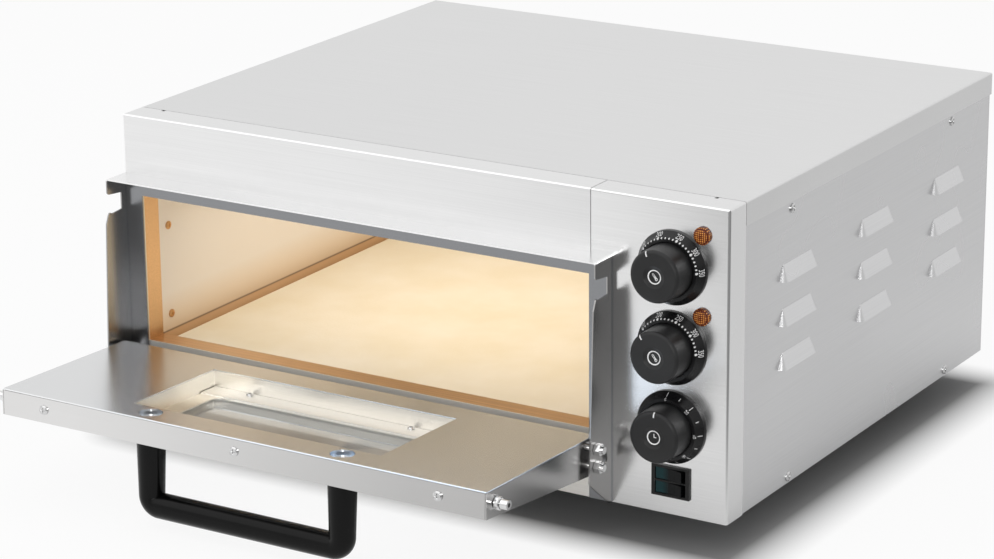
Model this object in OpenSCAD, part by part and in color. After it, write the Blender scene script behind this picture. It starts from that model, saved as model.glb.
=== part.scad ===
// Countertop electric pizza oven with one deck, a drop-down front door and a control column on the right.
// Working coordinates: x from the left side, y from the front panel backwards, z from the underside of
// the casing. The finished part is shifted so that its origin is the centre of its footprint on the table.

/* [Casing] */
// Width of the casing
body_w = 568; // [564:1:600]
// Depth of the casing
body_d = 481; // [478:1:520]
// Height of the casing, without its feet
body_h = 252; // [250:1:280]
// Thickness of the casing sheet
sheet = 1.2; // [0.8:0.1:1.5]
// Depth of the folds that the front panels turn back over the top and the sides
fold_d = 25.7; // [20:0.1:30]
// Outer radius of the bends in the casing sheet
bend_out = 1.8; // [1.6:0.1:2.5]
// Width of the seams between the panels of the front and the top
seam = 0.5; // [0.3:0.1:1]
// Height of the hood above the door frame
hood_h = 50; // [48:1:54]
// Depth of the side flanges on the top cover
cover_flange = 19.2; // [14:0.1:24]
// Clearance between pieces that are assembled against each other
fit_gap = 0.1; // [0.05:0.01:0.2]
// Width of the control column
control_w = 120; // [116:1:130]
// Height of the rubber feet
feet_h = 28; // [20:1:40]
// Radius of a foot where it meets the casing
foot_r = 19; // [14:1:22]
// Distance of the feet from the sides of the casing
foot_in_x = 70; // [50:1:100]
// Distance of the front feet from the front and of the rear feet from the rear
foot_in_y = 100; // [60:1:120]

/* [Side louvers] */
// Length of a louver
louver_len = 58; // [40:1:70]
// Height of a louver
louver_h = 13; // [10:0.5:16]
// How far a louver bulges out of the panel
louver_out = 5.5; // [3:0.5:7]
// Distance from the front to the first column of louvers
louver_y = 86; // [60:1:120]
// Distance between columns of louvers
louver_pitch_y = 139.5; // [100:0.5:150]
// Height of the lowest row of louvers
louver_z = 99.5; // [60:0.5:110]
// Distance between rows of louvers
louver_pitch_z = 36; // [24:0.5:40]

/* [Door frame] */
// Thickness of the folded frame sheet
frame_t = 1.2; // [1:0.1:1.5]
// How far the door frame stands in front of the control column
frame_over = 19; // [17:1:24]
// Width of the frame's side flanges
frame_side = 18; // [16:0.5:20]
// Height of the frame's top flange
frame_head = 18; // [14:0.5:20]
// Depth of the frame's top lip
lip_d = 26; // [20:0.5:30]
// Height of the threshold
threshold_z = 57.3; // [56.5:0.1:60]

/* [Door] */
// Running gap between the door and each cheek of the frame
door_gap = 4; // [3:0.1:5]
// Thickness of the door sheet
door_t = 1; // [0.8:0.1:1.2]
// Distance of the hinge axis in front of the casing
pivot_out = 25.5; // [25.4:0.1:27]
// Height of the hinge axis
pivot_z = 37.5; // [36:0.5:39]
// Distance from the hinge axis to the door's inner face
door_back = 22.6; // [22:0.1:23]
// Distance from the hinge axis down to the lower edge of the closed door
door_drop = 10; // [8:0.5:10]
// Gap between the free edge of the closed door and the top of the frame
door_under = 12.5; // [11.5:0.5:14]
// Thickness of the door along its free edge
door_thin = 21.7; // [20:0.1:23]
// Thickness of the door at the hinge axis
door_thick = 31.4; // [30:0.1:33]
// Angle through which the door opens
open_angle = 87.8; // [80:0.1:90]
// Radius of the hinge bolts
bolt_r = 3; // [2.5:0.1:3.5]
// Running clearance of a hinge bolt in the cheek
bolt_play = 0.05; // [0.02:0.01:0.1]
// Distance from the hinge axis to the stop bolts
stop_r = 14.5; // [13:0.1:15]
// Clearance of a stop bolt in its slot
slot_play = 0.5; // [0.3:0.1:0.8]

/* [Door window] */
// Width of the recess round the window
well_w = 234.5; // [220:0.5:240]
// Distance from the handle's legs to the recess
well_under = 12; // [11.5:0.5:14]
// Distance from the hinge axis to the recess
well_v = 17; // [15:0.5:20]
// Depth of the recess
well_d = 15.5; // [14:0.1:16]
// Width of the clear window
window_w = 201; // [190:0.5:205]
// Distance from the top of the recess to the clear window
window_under = 15; // [13:0.5:17]
// Distance from the hinge axis to the clear window
window_v = 37; // [35:0.5:39]
// Corner radius of the clear window
window_r = 9; // [5:0.5:12]
// Thickness of the glass
glass_t = 4; // [3:0.1:4.2]

/* [Handle] */
// Distance between the handle's legs
handle_span = 181.5; // [160:0.5:200]
// Distance from the door's free edge to the handle's legs
handle_edge = 15; // [14:0.5:18]
// Reach of the handle's grip, from the hinge axis to the middle of the grip
handle_reach = 53; // [48:0.5:53]
// Radius of the grip
grip_r = 10.5; // [9:0.1:11]
// Radius of a leg where it meets the door
leg_r = 11.6; // [10.5:0.1:12]
// Radius of the bend between the grip and a leg, along the middle of the tube
bend_r = 8.5; // [7:0.5:14]
// Radius of the screw cups in the door's inner face
cup_r = 9.75; // [8:0.25:11]

/* [Latch] */
// Radius of a latch roller
roller_r = 5.25; // [4.5:0.05:5.5]
// Length of a latch roller
roller_len = 5; // [4:0.5:6]
// Distance from the door's free edge to the latch rollers
roller_edge = 10.5; // [10:0.5:12]
// Distance of the latch rollers from the hinge axis, towards the oven
roller_u = 12; // [11:0.5:12.5]
// Distance that bolts and rollers reach out of the door's sides
stud_reach = 13; // [11:0.5:14]

/* [Chamber] */
// Depth of the collar between the front panels and the chamber
collar_d = 20; // [15:1:25]
// Depth of the chamber behind the collar
chamber_d = 405; // [402:1:410]
// Height of the chamber floor
floor_z = 15; // [13:0.5:16]
// Thickness of the chamber sheet
liner_t = 1; // [0.8:0.1:1.2]
// Free space on each side of the baking stone
stone_side = 14; // [12:1:20]
// Free space behind the baking stone
stone_rear = 3; // [2:1:10]
// Thickness of the baking stone
stone_t = 15; // [12:1:18]
// Height of the top of the baking stone
stone_top = 57; // [54:0.1:57.2]
// Radius of a heating element's tube
element_r = 4; // [3:0.25:4.5]
// Distance from the side walls of the chamber to the heating elements
element_side = 42; // [30:1:60]
// Distance from the chamber's ceiling to the upper heating element
element_under = 11; // [9:0.5:13]
// Height of the lower heating element
bottom_element_z = 27; // [24:0.5:30]

/* [Controls] */
// Distance from the right side of the casing to the middle of the dials
dial_in = 48.5; // [46:0.5:52]
// Outer radius of a dial's bezel
bezel_r = 29.5; // [27:0.5:31]
// Depth of a dial's bezel
bezel_d = 9; // [7:0.5:11]
// Largest radius of a knob
knob_r = 21.5; // [19:0.5:22]
// Distance of a knob's face from the panel
knob_out = 30; // [28:0.5:32]
// Radius of a knob's shaft
shaft_r = 3; // [2.5:0.1:3.5]
// Radius of an indicator lamp's lens
lamp_r = 7; // [5:0.5:8]
// Height of an indicator lamp above its dial
lamp_up = 28.75; // [27:0.25:30]
// Distance of an indicator lamp to the right of its dial
lamp_side = 25.5; // [23:0.5:30]
// Width of the switch bezel
switch_w = 33; // [31:0.5:36]
// Height of the switch bezel
switch_h = 25.5; // [25:0.5:28]
// Angle through which a rocker tilts between off and on
rocker_swing = 16; // [12:1:18]

/* [Rear] */
// Height of the cable gland
gland_z = 45; // [35:1:60]
// Radius of the cable gland's nut
gland_r = 12; // [9:0.5:14]
// Radius of the cable gland's bore
gland_bore = 5; // [3:0.25:6]
// Distance that the cable gland stands out of the rear panel
gland_out = 14; // [10:1:18]

/* [Hidden] */
$fn = 64;

slit = 0.01;                                   // overlap of a cutting shape past a face
head_h = 1.6;                                  // height of a pan screw head
head_r = 4;                                    // radius of a pan screw head
front_x = body_w - control_w;                  // seam between the front panels and the control column
dial_x = body_w - dial_in;
frame_w = front_x + frame_over;
frame_top = body_h - hood_h;
opening_x0 = frame_side;
opening_x1 = frame_w - frame_side - 2;
opening_top = frame_top - frame_head;
side_in = 2 * sheet;                           // inner face of a side panel
chamber_back = collar_d + chamber_d;
rear_in = body_d - 2 * sheet;                  // inner face of the rear panel
rear_face = body_d - sheet;
mid_chamber = (opening_x0 + opening_x1) / 2;
stone_x0 = opening_x0 + stone_side;
stone_x1 = opening_x1 - stone_side;
stone_y0 = collar_d + liner_t;
stone_y1 = chamber_back - stone_rear;
door_rise = frame_top - door_under - pivot_z;  // from the hinge axis to the free edge of the door
roller_v = door_rise - roller_edge;
handle_v = door_rise - handle_edge;
well_h = handle_v - well_under - well_v;
window_h = well_v + well_h - window_under - window_v;
door_x0 = frame_t + door_gap;
door_x1 = frame_w - frame_t - door_gap;
door_mid = (door_x0 + door_x1) / 2;
stud_x0 = door_x0 - stud_reach;
door_front = door_back - door_thick;           // outer face of the door at the hinge axis
door_slope = (door_back - door_thin - door_front) / door_rise;
front_reach = pivot_out + door_rise * sin(open_angle) + head_h;
mid_x = (stud_x0 + body_w - sheet + louver_out) / 2;
mid_y = (rear_face + gland_out - front_reach) / 2;

// Outer face of the door at a distance v from the hinge axis, measured from the axis towards the oven
function face_u(v) = door_front + door_slope * v;

// Moves the casing's coordinates to the origin on the table
module placed() {
    translate([-mid_x, -mid_y, feet_h]) children();
}

// Door coordinates: x as the casing, y towards the oven and z up from the hinge axis when closed
module on_door() {
    placed()
        translate([0, -pivot_out, pivot_z])
            rotate([open_angle, 0, 0])
                children();
}

// A cylinder along x, from x0 to x1
module rod_x(r, x0, x1) {
    translate([x0, 0, 0])
        rotate([0, 90, 0])
            cylinder(r = r, h = x1 - x0);
}

// A cylinder along y, from y0 to y1
module rod_y(r, y0, y1) {
    translate([0, y1, 0])
        rotate([90, 0, 0])
            cylinder(r = r, h = y1 - y0);
}

// A box given by two opposite corners
module block(a, b) {
    translate(a)
        cube([b[0] - a[0], b[1] - a[1], b[2] - a[2]]);
}

// An outline in the y-z plane, extruded along x from x0 to x1
module plate_x(x0, x1) {
    translate([x0, 0, 0])
        rotate([90, 0, 90])
            linear_extrude(height = x1 - x0)
                children();
}

// An outline in the x-z plane, extruded along y from y0 to y1
module plate_y(y0, y1) {
    translate([0, y1, 0])
        rotate([90, 0, 0])
            linear_extrude(height = y1 - y0)
                children();
}

// The rectangle between two opposite corners
module span(a, b) {
    translate([min(a[0], b[0]), min(a[1], b[1])])
        square([abs(b[0] - a[0]), abs(b[1] - a[1])]);
}

// The rectangle between two opposite corners, rounded at the first
module soft_corner(a, b, r) {
    centre = [a[0] + sign(b[0] - a[0]) * r, a[1] + sign(b[1] - a[1]) * r];
    span([centre[0], a[1]], b);
    span([a[0], centre[1]], b);
    translate(centre)
        circle(r = r);
}

// The box between two opposite corners, with its two level edges at the first corner rounded
module soft_roof(a, b, r) {
    intersection() {
        plate_x(min(a[0], b[0]), max(a[0], b[0]))
            soft_corner([a[1], a[2]], [b[1], b[2]], r);
        plate_y(min(a[1], b[1]), max(a[1], b[1]))
            soft_corner([a[0], a[2]], [b[0], b[2]], r);
    }
}

// The box between two opposite corners, with all three edges at the first corner rounded
module soft_block(a, b, r) {
    intersection() {
        soft_roof(a, b, r);
        translate([0, 0, min(a[2], b[2])])
            linear_extrude(height = abs(b[2] - a[2]))
                soft_corner([a[0], a[1]], [b[0], b[1]], r);
    }
}

// A rectangle with rounded corners, centred
module round_rect(w, h, r) {
    square([w - 2 * r, h], center = true);
    square([w, h - 2 * r], center = true);
    for (sx = [-1, 1])
        for (sy = [-1, 1])
            translate([sx * (w / 2 - r), sy * (h / 2 - r)])
                circle(r = r);
}

// A pan head screw along z: the head rests on z = 0 and the shank goes down
module pan_screw(head, shank, length) {
    difference() {
        union() {
            cylinder(r = head, h = head_h * 0.6);
            translate([0, 0, head_h * 0.6])
                cylinder(r1 = head, r2 = head * 0.7, h = head_h * 0.4);
            translate([0, 0, -length])
                cylinder(r = shank, h = length + slit);
        }
        for (turn = [0, 90])
            rotate([0, 0, turn])
                translate([0, 0, head_h])
                    cube([head * 1.1, head * 0.22, head_h], center = true);
    }
}

// Places the two side screw rows of the casing, on the right (side = 1) or the left (side = -1)
side_screw_y = [105, body_d - 79];
side_screw_z = [5.5, body_h - cover_flange - 6];
module at_side_screws(side) {
    for (y = side_screw_y)
        for (z = side_screw_z)
            translate([side > 0 ? body_w - sheet : sheet, y, z])
                rotate([0, side * 90, 0])
                    children();
}

// ---------------------------------------------------------------- casing

pan_rim = 12;                                  // height of the pan's turned-up rim
pan_x0 = side_in + fit_gap;
pan_x1 = body_w - side_in - fit_gap;
pan_y0 = sheet + fit_gap;
pan_y1 = rear_in - fit_gap;
foot_hole_r = 3.2;
module at_feet() {
    for (x = [foot_in_x, body_w - foot_in_x])
        for (y = [foot_in_y, body_d - foot_in_y])
            translate([x, y, 0])
                children();
}

module base_pan() {
    color("silver")
        placed()
            difference() {
                block([pan_x0, pan_y0, 0], [pan_x1, pan_y1, pan_rim]);
                block([pan_x0 + sheet, pan_y0 + sheet, sheet], [pan_x1 - sheet, pan_y1 - sheet, pan_rim + 1]);
                at_feet()
                    translate([0, 0, -1])
                        cylinder(r = foot_hole_r, h = sheet + 2);
                for (y = side_screw_y)
                    translate([0, y, side_screw_z[0]])
                        rod_x(screw_hole_r, 0, body_w);
                at_rear_screws()
                    rod_y(screw_hole_r, rear_in - 3 * sheet, rear_in);
            }
}

screw_hole_r = 2.1;
screw_r = 2;
// One louver, pressed out of the panel: a slanted hood with cone-shaped ends, open along its lower edge.
// The hollow in it is the same form, smaller by the ratio louver_wall
louver_wall = 1 - sheet * sqrt(1 / pow(louver_out, 2) + 1 / pow(louver_h, 2));
module louver(ratio) {
    r = louver_out * ratio;
    h = louver_h * ratio;
    for (y = [louver_out, louver_len - louver_out])
        translate([0, y, 0])
            cylinder(r1 = r, r2 = 0.2, h = h);
    plate_y(louver_out, louver_len - louver_out)
        polygon([[-0.2, 0], [r, 0], [0.2, h], [-0.2, h]]);
}

// Outline of the opening that a louver covers, a little narrower than the hollow
module louver_mouth() {
    h = louver_h * louver_wall;
    side = louver_out * (1 - louver_wall) + 0.3;
    polygon([[side, -slit], [louver_len - side, -slit], [louver_len - louver_out, h], [louver_out, h]]);
}

module at_louvers() {
    for (column = [0:2])
        for (row = [0:2])
            translate([body_w - sheet, louver_y + column * louver_pitch_y, louver_z + row * louver_pitch_z])
                children();
}

side_y0 = pan_y0;
module side_sheet(x0) {
    difference() {
        block([x0, side_y0, 0], [x0 + sheet, rear_in - fit_gap, body_h - sheet - fit_gap]);
        translate([x0 - 1, 0, 0])
            for (y = side_screw_y)
                for (z = side_screw_z)
                    translate([0, y, z])
                        rod_x(screw_hole_r, 0, sheet + 2);
    }
}

module left_side_panel() {
    color("silver")
        placed()
            side_sheet(sheet);
}

module right_side_panel() {
    color("silver")
        placed()
            difference() {
                union() {
                    side_sheet(body_w - 2 * sheet);
                    at_louvers()
                        intersection() {
                            louver(1);
                            block([-sheet / 2, 0, 0], [louver_out, louver_len, louver_h]);
                        }
                }
                at_louvers()
                    plate_x(-sheet - slit, slit)
                        louver_mouth();
                at_louvers()
                    translate([0, 0, -slit])
                        louver(louver_wall);
            }
}

vent_len = 46;                                 // length of a slot in the rear panel
vent_h = 3;
vent_count = 8;
vent_pitch = 9;
vent_z = body_h - 132;                         // height of the lowest slot
module rear_panel() {
    color("silver")
        placed()
            difference() {
                block([side_in - sheet, rear_in, 0],
                    [body_w - side_in + sheet, rear_face, body_h - sheet - fit_gap]);
                for (i = [0:vent_count - 1])
                    block([dial_x - vent_len / 2, rear_in - 1, vent_z + i * vent_pitch],
                        [dial_x + vent_len / 2, body_d + 1, vent_z + i * vent_pitch + vent_h]);
                translate([dial_x, 0, gland_z])
                    rod_y(gland_shank_r + fit_gap, rear_in - 1, body_d + 1);
                at_rear_screws()
                    rod_y(screw_hole_r, rear_in - 1, body_d + 1);
            }
}

rear_screw_in = 20;                            // distance of the rear screws from the casing's sides
rear_screw_under = 34;                         // distance of the upper rear screws from the casing's top
module at_rear_screws() {
    for (x = [rear_screw_in, body_w - rear_screw_in])
        for (z = [pan_rim / 2, body_h - rear_screw_under])
            translate([x, 0, z])
                children();
}

// The box of the top cover with its side and rear edges rounded; grow makes it longer at its open sides
module cover_box(inset, r, grow) {
    front = fold_d + seam - grow;
    rim = body_h - cover_flange - grow;
    intersection() {
        soft_roof([inset, body_d - inset, body_h - inset], [body_w + grow, front, rim], r);
        soft_roof([body_w - inset, body_d - inset, body_h - inset], [-grow, front, rim], r);
    }
}

module top_cover() {
    color("silver")
        placed()
            difference() {
                cover_box(0, bend_out, 0);
                block([sheet, 0, -1], [body_w - sheet, rear_face, body_h - sheet]);
            }
}

notch = 3;                                     // bend relief at the corners of the folds
hood_x1 = front_x - seam / 2;
module hood_fascia() {
    color("silver")
        placed()
            difference() {
                soft_block([0, 0, body_h], [hood_x1, fold_d, opening_top], bend_out);
                block([sheet, sheet, -1], [front_x, body_d, body_h - sheet]);
                block([fold_d - notch, fold_d - notch, body_h - 2 * sheet], [fold_d, body_d, body_h + 1]);
            }
}

control_x0 = front_x + seam / 2;
module control_panel() {
    color("silver")
        placed()
            difference() {
                soft_block([body_w, 0, body_h], [control_x0, fold_d, 0], bend_out);
                block([0, sheet, -1], [body_w - sheet, body_d, body_h - sheet]);
                block([body_w - fold_d, fold_d - notch, body_h - 2 * sheet],
                    [body_w - fold_d + notch, body_d, body_h + 1]);
                for (z = dial_z_all)
                    translate([dial_x, 0, z])
                        rod_y(bush_r + fit_gap, -1, sheet + 1);
                at_lamps()
                    rod_y(lamp_body_r + fit_gap, -1, sheet + 1);
                block([dial_x - switch_in_w / 2 - fit_gap, -1, switch_z - switch_in_h / 2 - fit_gap],
                    [dial_x + switch_in_w / 2 + fit_gap, sheet + 1, switch_z + switch_in_h / 2 + fit_gap]);
            }
}

module lower_front_panel() {
    color("silver")
        placed()
            difference() {
                linear_extrude(height = opening_top - fit_gap)
                    soft_corner([0, 0], [hood_x1, fold_d], bend_out);
                block([sheet, sheet, -1], [front_x, body_d, body_h]);
                block([opening_x0, -1, threshold_z], [front_x, sheet + 1, body_h]);
            }
}

// ---------------------------------------------------------------- door frame

cheek_foot = 35;                               // reach of a cheek beside the door's lower edge
cheek_waist = 28.5;                            // reach of a cheek just under the latch notch
notch_z = pivot_z + roller_v - roller_r - 1.6; // floor of the latch notch
notch_top = pivot_z + roller_v + roller_r + 2.2;
notch_in = pivot_out - roller_u - roller_r - 0.75;
foot_up = 25;                                  // height of the widest place of a cheek's foot
hook_r = 2.5;                                  // rounding of the hook's point
bump_r = 2;                                    // rounding of the bump that the latch rollers pass
// Side view of a cheek: hook at the top, latch notch with its bump, sloped front edge and tapered foot
module cheek_outline() {
    difference() {
        polygon(soft_path(
            [[0, frame_top], [-lip_d, frame_top], [-lip_d, notch_top + 2], [-notch_in, notch_top],
                [-notch_in, notch_z], [-cheek_waist + 8, notch_z - 1], [-cheek_waist + 4, notch_z + 1],
                [-cheek_waist, notch_z - 8.5], [-cheek_foot, foot_up], [-4, 0], [0, 0]],
            [0, 0, hook_r, bump_r / 2, bump_r / 2, bump_r, bump_r, bump_r, 2 * hook_r, 0, 0]));
        translate([-pivot_out, pivot_z])
            circle(r = bolt_r + bolt_play);
        stop_slot();
    }
}

function unit(v) = v / norm(v);

// Points that round the corner b of a path from a to c
function soft_point(a, b, c, r) =
    let(to_a = unit(a - b), to_c = unit(c - b), half = acos(to_a * to_c) / 2)
    let(centre = b + unit(to_a + to_c) * r / sin(half))
    let(from = b + to_a * r / tan(half) - centre, to = b + to_c * r / tan(half) - centre)
    let(start = atan2(from[1], from[0]), turn = atan2(cross(from, to), from * to))
    arc(centre, r, start, start + turn, 6);

// A closed path with its corners rounded to the given radii; a corner with radius 0 stays sharp
function soft_path(points, radii) =
    let(n = len(points))
    [for (i = [0:n - 1])
        each radii[i] > 0 ? soft_point(points[(i + n - 1) % n], points[i], points[(i + 1) % n], radii[i])
            : [points[i]]];

// Points on an arc round a centre, from one angle to another
function arc(centre, r, from, to, steps) =
    [for (i = [0:steps]) let(turn = from + (to - from) * i / steps) centre + r * [cos(turn), sin(turn)]];

// The slot of the stop bolt: a quarter ring round the hinge axis with round ends
module stop_slot() {
    slot_r = bolt_r + slot_play;
    top = 90;
    rear = top - open_angle;
    short = 15;                                // angle that each round end lacks at its start and its finish
    half_turn = 180;
    axis = [-pivot_out, pivot_z];
    polygon(concat(
        arc(axis, stop_r + slot_r, rear, top, 24),
        arc(axis + stop_r * [cos(top), sin(top)], slot_r, top + short, top + half_turn - short, 10),
        arc(axis, stop_r - slot_r, top, rear, 24),
        arc(axis + stop_r * [cos(rear), sin(rear)], slot_r, rear - half_turn + short, rear - short, 10)));
}

frame_bend = 1.5;                              // outer radius of the bends between lip and cheeks
// The frame as one folded piece: both cheeks, the lip above the door and the flange on the front panels
module door_frame() {
    color("gray")
        placed()
            difference() {
                intersection() {
                    plate_x(0, frame_w)
                        cheek_outline();
                    plate_y(-2 * cheek_foot, 1)
                        intersection() {
                            soft_corner([0, frame_top], [frame_w + 1, -1], frame_bend);
                            soft_corner([frame_w, frame_top], [-1, -1], frame_bend);
                        }
                }
                block([frame_t, -2 * cheek_foot, -1], [frame_w - frame_t, -frame_t, frame_top - frame_t]);
                block([opening_x0, -frame_t - 1, -1], [opening_x1, 1, opening_top]);
            }
}

// ---------------------------------------------------------------- chamber

module chamber_collar() {
    color("tan")
        placed()
            difference() {
                block([opening_x0 - liner_t, sheet + fit_gap, threshold_z - liner_t],
                    [opening_x1 + liner_t, collar_d - fit_gap, opening_top + liner_t]);
                block([opening_x0, 0, threshold_z], [opening_x1, collar_d + 1, opening_top]);
            }
}

chamber_screw_y = 32;
chamber_screw_z = [threshold_z + 14.7, opening_top - 34];
rail_w = 28;                                   // width of the ledges that carry the stone
rail_h = 8;
element_runs = 6;
element_y0 = collar_d + 65;                    // place of an element's first run
element_y1 = chamber_back - 30;                // place of its last run
element_pitch = (element_y1 - element_y0) / (element_runs - 1);
element_x0 = opening_x0 + element_side;
element_x1 = opening_x1 - element_side;
element_bend = element_pitch / 2;
top_element_z = opening_top - element_under;

module chamber_liner() {
    color("wheat")
        placed()
            difference() {
                block([opening_x0 - liner_t, collar_d, floor_z - liner_t],
                    [opening_x1 + liner_t, chamber_back + liner_t, opening_top + liner_t]);
                block([opening_x0, collar_d + liner_t, floor_z], [opening_x1, chamber_back, opening_top]);
                block([opening_x0, collar_d - 1, threshold_z - liner_t - fit_gap],
                    [opening_x1, collar_d + 2 * liner_t, opening_top]);
                at_element_ends()
                    rod_x(element_r + fit_gap, opening_x1 - 1, opening_x1 + 2 * liner_t);
                at_sensors()
                    rod_x(bulb_r + fit_gap, opening_x1 - 1, opening_x1 + 2 * liner_t);
                for (z = chamber_screw_z)
                    translate([0, chamber_screw_y, z])
                        rod_x(screw_hole_r, opening_x0 - 2 * liner_t, opening_x1 + 2 * liner_t);
            }
}

module stone_rails() {
    color("tan")
        placed()
            for (x = [opening_x0 + fit_gap, opening_x1 - fit_gap - liner_t]) {
                block([x, stone_y0, stone_top - stone_t - rail_h],
                    [x + liner_t, chamber_back - fit_gap, stone_top - stone_t]);
                ledge_x0 = x < mid_chamber ? x : x + liner_t - rail_w;
                block([ledge_x0, stone_y0, stone_top - stone_t - liner_t],
                    [ledge_x0 + rail_w, chamber_back - fit_gap, stone_top - stone_t]);
            }
}

rest_gap = 0.05;                               // gap under a piece that lies on another
module baking_stone() {
    color("ivory")
        placed()
            block([stone_x0, stone_y0, stone_top - stone_t + rest_gap], [stone_x1, stone_y1, stone_top]);
}

// Both ends of both heating elements, where they leave the chamber
module at_element_ends() {
    for (z = [bottom_element_z, top_element_z])
        for (i = [0, element_runs - 1])
            translate([0, element_y0 + i * element_pitch, z])
                children();
}

// A heating element: straight runs across the chamber joined by round bends, with both ends on the right
module element() {
    for (i = [0:element_runs - 1])
        translate([0, element_y0 + i * element_pitch, 0])
            rod_x(element_r, element_x0 + element_bend,
                i == 0 || i == element_runs - 1 ? element_end_x : element_x1 - element_bend);
    for (i = [0:element_runs - 2])
        translate([i % 2 == 0 ? element_x0 + element_bend : element_x1 - element_bend,
            element_y0 + (i + 0.5) * element_pitch, 0])
            rotate([0, 0, i % 2 == 0 ? 90 : -90])
                rotate_extrude(angle = 180)
                    translate([element_bend, 0])
                        circle(r = element_r);
}

element_tail = 34;                             // reach of an element's ends beyond the chamber
element_end_x = opening_x1 + element_tail;
module top_element() {
    color("dimgray")
        placed()
            translate([0, 0, top_element_z])
                element();
}

module bottom_element() {
    color("dimgray")
        placed()
            translate([0, 0, bottom_element_z])
                element();
}

hanger_in = 112;                               // distance of the elements' strips from the side walls
hanger_x = [opening_x0 + hanger_in, opening_x1 - hanger_in];
hanger_w = 12;
// A perforated strip that carries an element: from z0 to z1, with a hole for each run
module hanger(x, z0, z1, element_z) {
    difference() {
        block([x, element_y0 - hanger_w, z0],
            [x + 1.5 * liner_t, element_y0 + (element_runs - 1) * element_pitch + hanger_w, z1]);
        for (i = [0:element_runs - 1])
            translate([0, element_y0 + i * element_pitch, element_z])
                rod_x(element_r + fit_gap, x - 1, x + 3);
    }
}

module element_hangers() {
    color("silver")
        placed()
            for (x = hanger_x) {
                hanger(x, floor_z, bottom_element_z + element_r + 3, bottom_element_z);
                hanger(x, top_element_z - element_r - 3, opening_top, top_element_z);
            }
}

bulb_r = 3;
bulb_len = 90;
sensor_y = element_y0 + element_pitch / 2;     // between the first two runs of the elements
capillary_r = 1;
sensor_z = [bottom_element_z + 1, top_element_z];
module at_sensors() {
    for (z = sensor_z)
        translate([0, sensor_y, z])
            children();
}

// Thermostat bulbs in the chamber, each with its capillary tube to the control column
module sensor_bulbs() {
    color("silver")
        placed()
            for (i = [0, 1])
                translate([0, sensor_y, sensor_z[i]]) {
                    rod_x(bulb_r, opening_x1 - bulb_len, opening_x1 + 4);
                    rod_x(capillary_r, opening_x1 + 3, dial_x);
                    translate([dial_x, 0, 0]) {
                        rise = dial_z_all[i + 1] - sensor_z[i];
                        sphere(r = capillary_r);
                        cylinder(r = capillary_r, h = rise);
                        translate([0, 0, rise]) {
                            sphere(r = capillary_r);
                            rod_y(capillary_r, thermostat_back - sensor_y, 0);
                        }
                    }
                }
}

// ---------------------------------------------------------------- insulation and partition

wall_x = opening_x1 + 18;                      // left face of the partition
module insulation_top() {
    color("lightyellow")
        placed()
            block([opening_x0 - liner_t, fold_d + 2, opening_top + liner_t + fit_gap],
                [wall_x - fit_gap, rear_in - 3, body_h - sheet - 2]);
}

module insulation_bottom() {
    color("lightyellow")
        placed()
            difference() {
                block([opening_x0 - liner_t, collar_d, sheet + fit_gap],
                    [wall_x - fit_gap, chamber_back, floor_z - liner_t - fit_gap]);
                at_feet()
                    cylinder(r = 8, h = floor_z);
            }
}

module insulation_left() {
    color("lightyellow")
        placed()
            block([pan_x0 + sheet + 1.5, collar_d + 8, sheet + fit_gap],
                [opening_x0 - liner_t - fit_gap, rear_in - 3, body_h - sheet - 2]);
}

module insulation_right() {
    color("lightyellow")
        placed()
            difference() {
                block([opening_x1 + liner_t + fit_gap, collar_d + fit_gap, floor_z],
                    [wall_x - fit_gap, chamber_back, opening_top + liner_t]);
                at_element_ends()
                    rod_x(element_r + fit_gap, opening_x1, wall_x);
                at_sensors()
                    rod_x(bulb_r + 1, opening_x1, wall_x);
            }
}

module insulation_rear() {
    color("lightyellow")
        placed()
            block([opening_x0 - liner_t, chamber_back + liner_t + fit_gap, sheet + fit_gap],
                [wall_x - fit_gap, rear_in - 3, opening_top + liner_t]);
}

module partition() {
    color("silver")
        placed()
            difference() {
                block([wall_x, collar_d, sheet],
                    [wall_x + liner_t, rear_in - sheet - 2 * fit_gap, body_h - sheet - 1]);
                at_element_ends()
                    rod_x(element_r + fit_gap, wall_x - 1, wall_x + 2);
                at_sensors()
                    rod_x(capillary_r + 0.5, wall_x - 1, wall_x + 2);
            }
}

// ---------------------------------------------------------------- controls

bush_r = 5;                                    // radius of the threaded bush of a switch or timer
thermostat_front = 8;
thermostat_back = 44;
knob_back = 4;                                 // distance of a knob's rear face from the panel
shaft_end = 18;                                // how far a shaft reaches out of the panel
shaft_play = 0.05;
bezel_in = knob_r + 0.8;
// Height that the base pan, the switch and the dials leave free in the control column, and how it is shared
column_free = body_h - pan_rim - switch_h - 6 * bezel_r;
free_below = 0.06;                             // under the switch
free_above = 0.0735;                           // between the switch and the lowest dial
free_between = 0.1333;                         // between two dials; the rest is above the highest dial
switch_z = pan_rim + free_below * column_free + switch_h / 2;
dial_z = switch_z + switch_h / 2 + free_above * column_free + bezel_r;
dial_pitch = 2 * bezel_r + free_between * column_free;
dial_z_all = [dial_z, dial_z + dial_pitch, dial_z + 2 * dial_pitch];

// The fixed part behind a dial: a body with a bored bush that passes through the panel
module bush(y_back) {
    difference() {
        rod_y(bush_r, -2, y_back);
        rod_y(shaft_r + shaft_play, -3, y_back - 1);
    }
}

thermostat_w = 36;
thermostat_h = 40;
bush_in = 3;                                   // how deep a bush sits in the body behind it
bracket_w = 28;
bracket_h = 48;
bracket_t = 1.5;
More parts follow.
